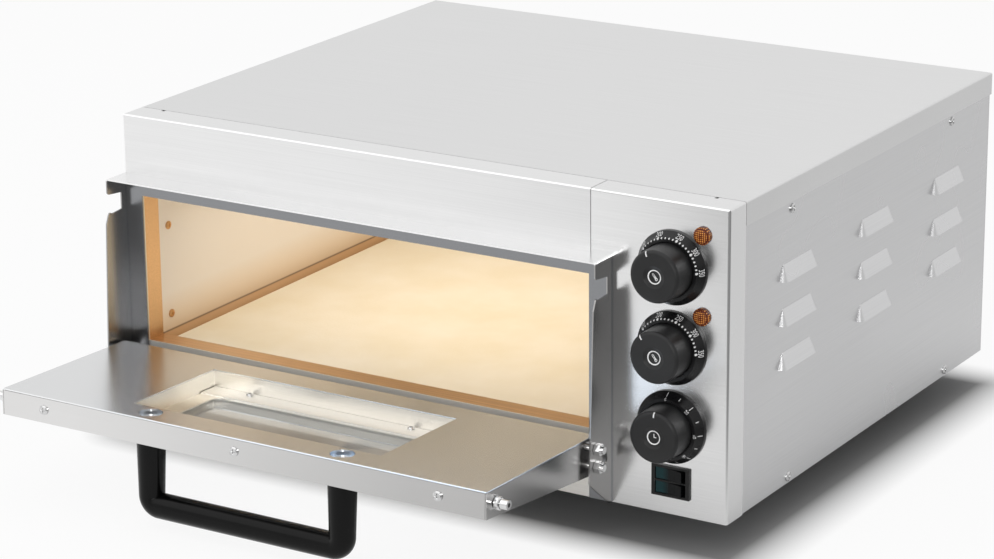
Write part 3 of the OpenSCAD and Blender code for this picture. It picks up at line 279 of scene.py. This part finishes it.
def lamp_plastic():
    """Amber plastic pressed into small pyramids, with painted highlights on them and painted shade between
    them.
    """
    finish = Finish("lamp_amber", (0.6, 0.17, 0.04), roughness=0.2)
    finish.set("Specular IOR Level", 0.25)
    cells = finish.node("ShaderNodeTexVoronoi")
    cells.inputs["Scale"].default_value = PYRAMIDS_A_METRE
    cells.inputs["Randomness"].default_value = 0.05
    finish.link(finish.coords(), cells.inputs["Vector"])
    # bright centres are painted highlights and the dark between the pyramids is painted shade
    finish.tint(cells.outputs["Distance"], (1.0, 0.4, 0.08), (0.1, 0.012, 0.003), low=0.12, high=0.45)
    finish.bump(cells.outputs["Distance"], -0.0005)
    return finish.mat


def rocker_plastic():
    """Black rocker plastic with a green-blue left half."""
    finish = Finish("rocker", (0.005, 0.006, 0.006), roughness=0.22)
    finish.set("Specular IOR Level", 0.2)
    finish.tint(finish.along("X"), (0.003, 0.03, 0.034), (0.003, 0.0035, 0.004), low=0.25, high=0.5)
    finish.bump(finish.noise(500, detail=2), 0.00002)
    return finish.mat


def printed():
    """White ink."""
    finish = Finish("printed_white", (0.85, 0.85, 0.85), roughness=0.5)
    finish.tint(finish.noise(900, detail=2), (0.76, 0.76, 0.76), (0.88, 0.88, 0.88))
    return finish.mat


MATERIALS = {
    # The casing's stainless steel is written in lit and shaded copies. Against the front's 0.78, painted
    # light brightens the hood (0.81) and the warmer sill (0.88), and painted shade darkens the top (0.74)
    # and the sides and rear (0.67).
    "steel_front": brushed("steel_front", (0.78, 0.78, 0.78), ALONG_X, roughness=0.2),
    "steel_sill_lit": brushed("steel_sill_lit", (0.88, 0.86, 0.82), ALONG_X, roughness=0.55),
    "steel_hood_lit": brushed("steel_hood_lit", (0.81, 0.81, 0.81), ALONG_X, roughness=0.32),
    "steel_top_shaded": brushed("steel_top_shaded", (0.74, 0.74, 0.74), ALONG_X, roughness=0.36),
    "steel_side_shaded": brushed("steel_side_shaded", (0.67, 0.67, 0.675), ALONG_Y, roughness=0.28),
    # painted reflection on the inner skin: bluer and lighter towards its right end
    "steel_door": turning("steel_door", (0.74, 0.745, 0.75), (0.8, 0.88, 0.98), roughness=0.26),
    # painted shade on the outer skin: darker towards its right end
    "steel_door_front": turning("steel_door_front", (0.72, 0.715, 0.71), (0.52, 0.515, 0.51),
                                roughness=0.22),
    "steel_frame": frame_steel(),
    "galvanised": brushed("galvanised", (0.62, 0.63, 0.65), (60, 60, 60), roughness=0.45,
                          contrast=0.12),
    "warm_steel": brushed("warm_steel", (0.74, 0.5, 0.3), (8, 900, 900), roughness=0.32, contrast=0.12),
    "well_steel": brushed("well_steel", (0.84, 0.81, 0.75), ALONG_X, roughness=0.3),
    "screw_steel": brushed("screw_steel", (0.62, 0.62, 0.62), EVERY_WAY, roughness=0.14),
    "chamber_screw": brushed("chamber_screw", (0.7, 0.42, 0.2), EVERY_WAY, roughness=0.3),
    "polished": brushed("polished", (0.74, 0.74, 0.74), EVERY_WAY, roughness=0.13),
    "element": brushed("element", (0.24, 0.22, 0.2), (200, 200, 200), roughness=0.5, contrast=0.15),
    "capillary": brushed("capillary", (0.75, 0.6, 0.45), EVERY_WAY, roughness=0.3),
    "clip": brushed("clip", (0.9, 0.88, 0.84), ALONG_X, roughness=0.4),
    "enamel": enamel(),
    "stone": stone(),
    "wool": wool(),
    "beige_plastic": plastic("beige_plastic", (0.75, 0.7, 0.58), 0.5),
    "dial_black": plastic("dial_black", (0.006, 0.006, 0.0065), 0.3, shine=0.32),
    "knob_black": plastic("knob_black", (0.02, 0.02, 0.0205), 0.36, shine=0.28),
    "handle_black": plastic("handle_black", (0.003, 0.003, 0.003), 0.16, grain=500, depth=0.000004,
                            shine=0.15),
    "switch_black": plastic("switch_black", (0.006, 0.006, 0.006), 0.3, shine=0.3),
    "rocker": rocker_plastic(),
    "rubber": plastic("rubber", (0.02, 0.02, 0.02), 0.7, grain=300),
    "glass": glass(),
    "lamp": lamp_plastic(),
    "print": printed(),
}

NODE_FINISH = {
    "steel_front": ["control_panel"],
    "steel_sill_lit": ["lower_front_panel"],
    "steel_hood_lit": ["hood_fascia"],
    "steel_top_shaded": ["top_cover"],
    "steel_side_shaded": ["left_side_panel", "right_side_panel", "rear_panel"],
    "steel_door": ["door_inner_skin"],
    "steel_door_front": ["door_outer_skin"],
    "steel_frame": ["door_frame"],
    "galvanised": ["base_pan", "partition", "stone_rails", "element_hangers"],
    "warm_steel": ["chamber_collar"],
    "well_steel": ["window_well"],
    "enamel": ["chamber_liner"],
    "stone": ["baking_stone"],
    "element": ["top_element", "bottom_element"],
    "wool": ["insulation_top", "insulation_bottom", "insulation_left", "insulation_right",
             "insulation_rear", "door_insulation"],
    "beige_plastic": ["thermostat_top", "thermostat_bottom", "timer", "lamp_bodies", "terminal_block"],
    "capillary": ["sensor_bulbs", "shaft_top", "shaft_bottom", "shaft_timer"],
    "dial_black": ["dial_bezels", "cable_gland"],
    "knob_black": ["knob_top", "knob_bottom", "knob_timer"],
    "handle_black": ["handle"],
    "switch_black": ["switch_housing"],
    "rocker": ["rocker_upper", "rocker_lower"],
    "rubber": ["feet"],
    "screw_steel": ["foot_screws", "side_screws", "rear_screws", "window_screws", "handle_screws",
                    "edge_screws"],
    "chamber_screw": ["chamber_screws"],
    "polished": ["hinge_bolts", "stop_bolts", "latch_screws", "latch_roller_left",
                 "latch_roller_right"],
    "clip": ["window_clip"],
    "glass": ["door_glass"],
    "lamp": ["lamp_lenses"],
}


def dress_nodes():
    for finish, nodes in NODE_FINISH.items():
        for node in nodes:
            mesh = NODES[node].data
            mesh.materials.clear()
            mesh.materials.append(MATERIALS[finish])


# ---------------------------------------------------------------- printed marks on the dials

DIAL_X = 519.5
BEZEL_PROFILE = ((22.3, -9), (25, -9), (27.2, -5.3), (29.5, -2))  # radius and y, from the knob outwards
KNOB_FACE = -30         # y of the knob's flat face
DIMPLE_SPHERE = 19.51   # radius of the sphere that dents the face
DIMPLE_RADIUS = 9
KNOB_FLAT = 17.9        # radius at which the face begins to round off
KNOB_ROUND = 3
INK = 0.06              # height of the ink above the plastic


def bezel_face(r):
    """How far in front of the panel the bezel's face lies at a radius."""
    for (r0, y0), (r1, y1) in zip(BEZEL_PROFILE, BEZEL_PROFILE[1:]):
        if r <= r1:
            return y0 + (y1 - y0) * max(0, r - r0) / (r1 - r0)
    return BEZEL_PROFILE[-1][1]


def knob_face(r):
    """How far in front of the panel the knob's face lies at a radius."""
    if r < DIMPLE_RADIUS:
        return KNOB_FACE + math.sqrt(DIMPLE_SPHERE ** 2 - r * r) - math.sqrt(
            DIMPLE_SPHERE ** 2 - DIMPLE_RADIUS ** 2)
    drop = max(0, min(KNOB_ROUND, r - KNOB_FLAT))
    return KNOB_FACE + KNOB_ROUND - math.sqrt(KNOB_ROUND ** 2 - drop ** 2)


class Print:
    """Ink on a dial: flat outlines that are bent onto a face turned about the dial's axis."""

    def __init__(self, name, body, dial_z, face):
        self.name, self.body, self.dial_z, self.face = name, body, dial_z, face
        self.bm = bmesh.new()

    def add(self, points, faces, place):
        """Adds flat points, moved to the dial's own right and up by place()."""
        verts = []
        for u, v in points:
            right, up = place(u, v)
            y = self.face(math.hypot(right, up)) - INK
            verts.append(self.bm.verts.new(at(DIAL_X + right, y, self.dial_z + up)))
        for corners in faces:
            self.bm.faces.new([verts[i] for i in corners])

    def dot(self, angle, r, size):
        """A round dot with a given radius."""
        steps = 16
        turns = [math.tau * i / steps for i in range(steps)]
        points = [(0, 0)] + [(size * math.cos(a), size * math.sin(a)) for a in turns]
        faces = [(0, 1 + i, 1 + (i + 1) % steps) for i in range(steps)]
        self.add(points, faces, on_ring(angle, r))

    def bar(self, angle, r_in, r_out, width):
        """A straight line along a radius."""
        steps = 12
        points = []
        for i in range(steps + 1):
            v = r_in + (r_out - r_in) * i / steps
            points += [(-width / 2, v), (width / 2, v)]
        faces = [(2 * i, 2 * i + 1, 2 * i + 3, 2 * i + 2) for i in range(steps)]
        self.add(points, faces, turned(angle))

    def band(self, path, width, place):
        """A line of a given width along a path of flat points."""
        points = []
        for i, (u, v) in enumerate(path):
            before, after = path[max(0, i - 1)], path[min(len(path) - 1, i + 1)]
            along = Vector((after[0] - before[0], after[1] - before[1])).normalized()
            points += [(u - along.y * width / 2, v + along.x * width / 2),
                       (u + along.y * width / 2, v - along.x * width / 2)]
        faces = [(2 * i, 2 * i + 2, 2 * i + 3, 2 * i + 1) for i in range(len(path) - 1)]
        self.add(points, faces, place)

    def words(self, text, size, place):
        """Text, centred and filled, cut finely enough to follow the face."""
        curve = bpy.data.curves.new("words", "FONT")
        curve.body = text
        curve.size = size
        curve.align_x = "CENTER"
        curve.align_y = "CENTER"
        curve.resolution_u = 3
        holder = bpy.data.objects.new("words", curve)
        bpy.context.collection.objects.link(holder)
        bpy.context.view_layer.update()
        mesh = holder.evaluated_get(bpy.context.evaluated_depsgraph_get()).to_mesh()
        points = [(v.co.x, v.co.y) for v in mesh.vertices]
        faces = [tuple(p.vertices) for p in mesh.polygons]
        self.add(points, faces, place)
        holder.to_mesh_clear()
        bpy.data.objects.remove(holder)
        bpy.data.curves.remove(curve)

    def done(self):
        """Turns every face to the front and makes the ink a piece of its body."""
        self.bm.normal_update()
        for face in self.bm.faces:
            if face.normal.y > 0:
                face.normal_flip()
        mesh = bpy.data.meshes.new(self.name)
        self.bm.to_mesh(mesh)
        self.bm.free()
        mesh.materials.append(MATERIALS["print"])
        ink = bpy.data.objects.new(self.name, mesh)
        bpy.context.collection.objects.link(ink)
        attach(ink, self.body)


def turned(angle):
    """Flat points turned clockwise about the dial's axis, seen from the front."""
    a = math.radians(angle)
    return lambda u, v: (u * math.cos(a) + v * math.sin(a), v * math.cos(a) - u * math.sin(a))


def on_ring(angle, r):
    """Flat points wrapped round the dial's axis at a radius, their tops outwards."""
    def place(u, v):
        a = math.radians(angle) + u / r
        return (r + v) * math.sin(a), (r + v) * math.cos(a)
    return place


def circle(r, u=0.0, v=0.0, start=0, end=360, steps=48):
    angles = [math.radians(start + (end - start) * i / steps) for i in range(steps + 1)]
    return [(u + r * math.sin(a), v + r * math.cos(a)) for a in angles]


# Heat scale: rings, sizes, and each number with its angle clockwise from the top
DOT_RING = 25
NUMBER_RING = 27.45
NUMBER_SIZE = 3.9
NUMBER_DOT = 0.95
SMALL_DOT = 0.65
SMALL_DOTS = 4          # between two numbers
HEAT_MARKS = ((150, -56), (200, -19), (250, 18), (300, 53), (350, 88))

# Minute scale: degrees a minute, ticks and numbers
MINUTE_TURN = 47.3 / 20
MINUTE_START = -2
MINUTES = 120
TICK_RING = 26.3
LONG_TICK = 28.6
SHORT_TICK = 27.8
TICK_WIDTH = 0.55
MINUTE_RING = 24.4
MINUTE_SIZE = 3.4

# Knobs: the pointer near the rim and the ring round the symbol
POINTER = (16.6, 20.6)
POINTER_WIDTH = 1.1
SYMBOL_RING = 5.25
SYMBOL_RING_WIDTH = 0.95


def heat_scale(name, dial_z):
    scale = Print(name, "root", dial_z, bezel_face)
    for i, (number, angle) in enumerate(HEAT_MARKS):
        scale.dot(angle, DOT_RING, NUMBER_DOT)
        scale.words(str(number), NUMBER_SIZE, on_ring(angle, NUMBER_RING))
        if i + 1 < len(HEAT_MARKS):
            step = (HEAT_MARKS[i + 1][1] - angle) / (SMALL_DOTS + 1)
            for k in range(SMALL_DOTS):
                scale.dot(angle + step * (k + 1), DOT_RING, SMALL_DOT)
    scale.done()


def minute_scale(name, dial_z):
    scale = Print(name, "root", dial_z, bezel_face)
    for minute in range(0, MINUTES + 1, 10):
        angle = MINUTE_START + minute * MINUTE_TURN
        numbered = minute % 20 == 0
        scale.bar(angle, TICK_RING, LONG_TICK if numbered else SHORT_TICK, TICK_WIDTH)
        if numbered:
            scale.words(str(minute), MINUTE_SIZE, on_ring(angle, MINUTE_RING))
    scale.done()


def thermometer(mark):
    """A leaning thermometer: bulb, tube and column."""
    place = turned(-38)
    mark.band(circle(0.95, 0, -2.2, steps=20), 0.55, place)
    mark.band([(-0.62, -1.5), (-0.62, 2.4), (0, 3.1), (0.62, 2.4), (0.62, -1.5)], 0.5, place)
    mark.band([(0, -2.2), (0, 0.6)], 0.5, place)


def clock(mark):
    """The hands of a clock at three."""
    place = turned(0)
    mark.band([(0, 0), (0, 2.9)], 0.7, place)
    mark.band([(-0.3, 0), (2.0, 0)], 0.7, place)


def knob_marks(name, body, dial_z, angle, symbol):
    mark = Print(name, body, dial_z, knob_face)
    mark.band(circle(SYMBOL_RING), SYMBOL_RING_WIDTH, turned(0))
    symbol(mark)
    mark.bar(angle, *POINTER, POINTER_WIDTH)
    mark.done()


def print_dials():
    knobs = ("knob_top", "knob_bottom", "knob_timer")
    top, bottom, timer = [(centre(node).z - ORIGIN.z) / MM for node in knobs]
    heat_scale("scale_top", top)
    heat_scale("scale_bottom", bottom)
    minute_scale("scale_timer", timer)
    knob_marks("marks_top", "top_knob", top, -21, thermometer)
    knob_marks("marks_bottom", "bottom_knob", bottom, -37, thermometer)
    knob_marks("marks_timer", "timer_knob", timer, 2, clock)


# ---------------------------------------------------------------- light, floor, camera

FLOOR_COLOR = (0.92, 0.92, 0.92)
# painted shadow on the floor round the casing
FLOOR_PAINTED_SHADOW = (0.3, 0.3, 0.3)       # under the casing
FLOOR_GLOW = 0.9                    # share of glow that the camera sees
CONTACT = 0.048                     # width of the shaded rim round the casing, in metres
GLOSS_SHARE = 0.85                  # share of glow that steel mirrors
GLOSS_CONTACT = 0.16                # width of the darker rim in its mirror image
FOOTPRINT_DEPTH = 470
FRONT_RIGHT = (0.8, -0.6)
FLOOR_FALL = (1.1, 0.76, -0.3, 0.5)     # mirrored glow: its levels, and the places along x where they lie
FLOOR_FLAG = (1.0, 0.25, 0.38, 0.62)    # the same towards the front right


def casing_distance(finish, place):
    """How far a point of the floor lies outside the casing's footprint, in metres."""
    low, high = at(0, 0, 0), at(CASING_WIDTH, FOOTPRINT_DEPTH, 0)
    shift = finish.node("ShaderNodeVectorMath", operation="SUBTRACT")
    shift.inputs[1].default_value = ((low.x + high.x) / 2, (low.y + high.y) / 2, 0)
    fold = finish.node("ShaderNodeVectorMath", operation="ABSOLUTE")
    beyond = finish.node("ShaderNodeVectorMath", operation="SUBTRACT")
    beyond.inputs[1].default_value = ((high.x - low.x) / 2, (high.y - low.y) / 2, 10)
    outside = finish.node("ShaderNodeVectorMath", operation="MAXIMUM")
    length = finish.node("ShaderNodeVectorMath", operation="LENGTH")
    finish.link(place, shift.inputs[0])
    finish.link(shift.outputs[0], fold.inputs[0])
    finish.link(fold.outputs[0], beyond.inputs[0])
    finish.link(beyond.outputs[0], outside.inputs[0])
    finish.link(outside.outputs[0], length.inputs[0])
    return length.outputs["Value"]


def heading(finish, vector, x, y):
    """How far a vector reaches along a direction on the floor."""
    product = finish.node("ShaderNodeVectorMath", operation="DOT_PRODUCT")
    product.inputs[1].default_value = (x, y, 0)
    finish.link(vector, product.inputs[0])
    return product.outputs["Value"]


def times(finish, a, b):
    """A value times another value or a number."""
    product = finish.node("ShaderNodeMath", operation="MULTIPLY")
    finish.link(a, product.inputs[0])
    if isinstance(b, float):
        product.inputs[1].default_value = b
    else:
        finish.link(b, product.inputs[1])
    return product.outputs[0]


def make_floor():
    """A pale floor, with painted shadow that darkens it close to the casing. It glows for the camera
    except close to the casing, and steel mirrors it as a studio floor that falls off to the right and lies
    in shade at the front right."""
    size = 12
    mesh = bpy.data.meshes.new("floor")
    corners = [(-size, -size), (size, -size), (size, size), (-size, size)]
    mesh.from_pydata([(x, y, TABLE_Z - 0.0005) for x, y in corners], [], [(0, 1, 2, 3)])
    floor = bpy.data.objects.new("floor", mesh)
    bpy.context.collection.objects.link(floor)
    finish = Finish("floor", FLOOR_COLOR, roughness=0.9)
    place = finish.coords()
    away = casing_distance(finish, place)
    # painted shadow: the floor's colour darkens towards the casing's footprint
    finish.tint(finish.span(away, 0.0, 1.0, 0.0, CONTACT), FLOOR_PAINTED_SHADOW, FLOOR_COLOR, low=0.0, high=1.0)
    path = finish.node("ShaderNodeLightPath")
    through = finish.node("ShaderNodeMath", operation="MAXIMUM")
    finish.link(path.outputs["Is Camera Ray"], through.inputs[0])
    finish.link(path.outputs["Is Transmission Ray"], through.inputs[1])
    seen = times(finish, times(finish, through.outputs[0], FLOOR_GLOW),
                 finish.span(away, 0.0, 1.0, 0.0, CONTACT))
    mirrored = times(finish, times(finish, path.outputs["Is Glossy Ray"], GLOSS_SHARE),
                     finish.span(away, 0.0, 1.0, 0.0, GLOSS_CONTACT))
    share = finish.node("ShaderNodeMath", operation="ADD")
    finish.link(seen, share.inputs[0])
    finish.link(mirrored, share.inputs[1])

    fall = finish.span(heading(finish, place, 1, 0), *FLOOR_FALL)
    flag = finish.span(heading(finish, place, *FRONT_RIGHT), *FLOOR_FLAG)
    dimmed = finish.node("ShaderNodeMix", data_type="FLOAT")
    finish.link(path.outputs["Is Glossy Ray"], dimmed.inputs["Factor"])
    dimmed.inputs["A"].default_value = 1.0
    finish.link(times(finish, fall, flag), dimmed.inputs["B"])
    glow = finish.node("ShaderNodeEmission")
    glow.inputs["Color"].default_value = (1, 1, 1, 1)
    finish.link(dimmed.outputs["Result"], glow.inputs["Strength"])
    mix = finish.node("ShaderNodeMixShader")
    finish.link(share.outputs[0], mix.inputs["Fac"])
    finish.link(finish.shader.outputs[0], mix.inputs[1])
    finish.link(glow.outputs[0], mix.inputs[2])
    finish.link(mix.outputs[0], finish.tree.nodes["Material Output"].inputs["Surface"])
    mesh.materials.append(finish.mat)


SKY_DIFFUSE = 0.5
SKY_BRIGHT = 0.92
SKY_DARK = 0.72                     # on the card at the front right
CARD_EDGE = (0.35, 0.85)


def make_world():
    """White for the camera, a soft studio for steel with a darker card at the front right, and a plain
    level for everything else."""
    world = bpy.data.worlds.new("studio")
    bpy.context.scene.world = world
    world.use_nodes = True
    tree = world.node_tree

    def background(strength):
        made = tree.nodes.new("ShaderNodeBackground")
        made.inputs["Color"].default_value = (1, 1, 1, 1)
        made.inputs["Strength"].default_value = strength
        return made

    def mixed(factor, a, b):
        mix = tree.nodes.new("ShaderNodeMixShader")
        tree.links.new(factor, mix.inputs["Fac"])
        tree.links.new(a.outputs[0], mix.inputs[1])
        tree.links.new(b.outputs[0], mix.inputs[2])
        return mix

    path = tree.nodes.new("ShaderNodeLightPath")
    source = tree.nodes.new("ShaderNodeTexCoord")
    card = tree.nodes.new("ShaderNodeVectorMath")
    card.operation = "DOT_PRODUCT"
    card.inputs[1].default_value = (*FRONT_RIGHT, 0)
    tree.links.new(source.outputs["Generated"], card.inputs[0])
    remap = tree.nodes.new("ShaderNodeMapRange")
    remap.inputs["From Min"].default_value = CARD_EDGE[0]
    remap.inputs["From Max"].default_value = CARD_EDGE[1]
    remap.inputs["To Min"].default_value = SKY_BRIGHT
    remap.inputs["To Max"].default_value = SKY_DARK
    tree.links.new(card.outputs["Value"], remap.inputs["Value"])
    studio = background(1.0)
    tree.links.new(remap.outputs["Result"], studio.inputs["Strength"])
    level = mixed(path.outputs["Is Glossy Ray"], background(SKY_DIFFUSE), studio)
    seen = mixed(path.outputs["Is Camera Ray"], level, background(1.0))
    tree.links.new(seen.outputs[0], tree.nodes["World Output"].inputs["Surface"])
    tree.nodes.remove(tree.nodes["Background"])


def area_light(name, place, target, size, power):
    """A rectangular lamp that faces a target."""
    light = bpy.data.lights.new(name, "AREA")
    light.shape = "RECTANGLE"
    light.size, light.size_y = size
    light.energy = power
    lamp = bpy.data.objects.new(name, light)
    lamp.location = place
    lamp.rotation_euler = (target - place).to_track_quat("-Z", "Y").to_euler()
    bpy.context.collection.objects.link(lamp)
    return lamp


CHAMBER_MIDDLE = (232, 230)         # x and y
CHAMBER_LAMPS_Z = 166


def make_lights():
    """A large key lamp at the front left, one above, one that shines into the mouth, and two hidden ones
    that spread light inside the chamber."""
    middle = at(284, 200, 120)
    area_light("key", Vector((-1.0, -1.8, 2.8)), middle, (4.8, 4.0), 38)
    area_light("top", Vector((0.3, 0.5, 2.6)), middle, (2.4, 2.4), 10)
    area_light("chamber_fill", Vector((1.0, -1.9, 0.6)), at(200, 250, 100), (0.7, 0.4), 7)
    for name, aim, power in (("chamber_down", 57, 0.3), ("chamber_up", 185, 0.12)):
        inside = area_light(name, at(*CHAMBER_MIDDLE, CHAMBER_LAMPS_Z), at(*CHAMBER_MIDDLE, aim),
                            (0.38, 0.36), power)
        inside.visible_camera = False
        inside.visible_glossy = False


CAMERA_PLACE = (1684.0, -2132.6, 964.1)
CAMERA_AZIMUTH = 31.77
CAMERA_ELEVATION = 17.66
CAMERA_ROLL = -0.563
FOCAL_PIXELS = 3367.8
IMAGE_WIDTH = 994


def make_camera():
    """The camera of the photo, solved from the edges of the casing."""
    azimuth = math.radians(CAMERA_AZIMUTH)
    elevation = math.radians(CAMERA_ELEVATION)
    roll = math.radians(CAMERA_ROLL)
    forward = Vector((-math.sin(azimuth) * math.cos(elevation), math.cos(azimuth) * math.cos(elevation),
                      -math.sin(elevation)))
    level_right = forward.cross(Vector((0, 0, 1))).normalized()
    level_up = level_right.cross(forward)
    right = level_right * math.cos(roll) + level_up * math.sin(roll)
    up = level_up * math.cos(roll) - level_right * math.sin(roll)
    data = bpy.data.cameras.new("camera")
    data.sensor_width = 36
    data.lens = FOCAL_PIXELS / IMAGE_WIDTH * data.sensor_width
    data.clip_end = 50
    camera = bpy.data.objects.new("camera", data)
    place = at(*CAMERA_PLACE)
    camera.matrix_world = Matrix((
        (right.x, up.x, -forward.x, place.x),
        (right.y, up.y, -forward.y, place.y),
        (right.z, up.z, -forward.z, place.z),
        (0, 0, 0, 1)))
    bpy.context.collection.objects.link(camera)
    bpy.context.scene.camera = camera


dress_nodes()
print_dials()
make_floor()
make_world()
make_lights()
make_camera()
bpy.context.scene.view_settings.view_transform = "Standard"

bpy.context.view_layer.update()
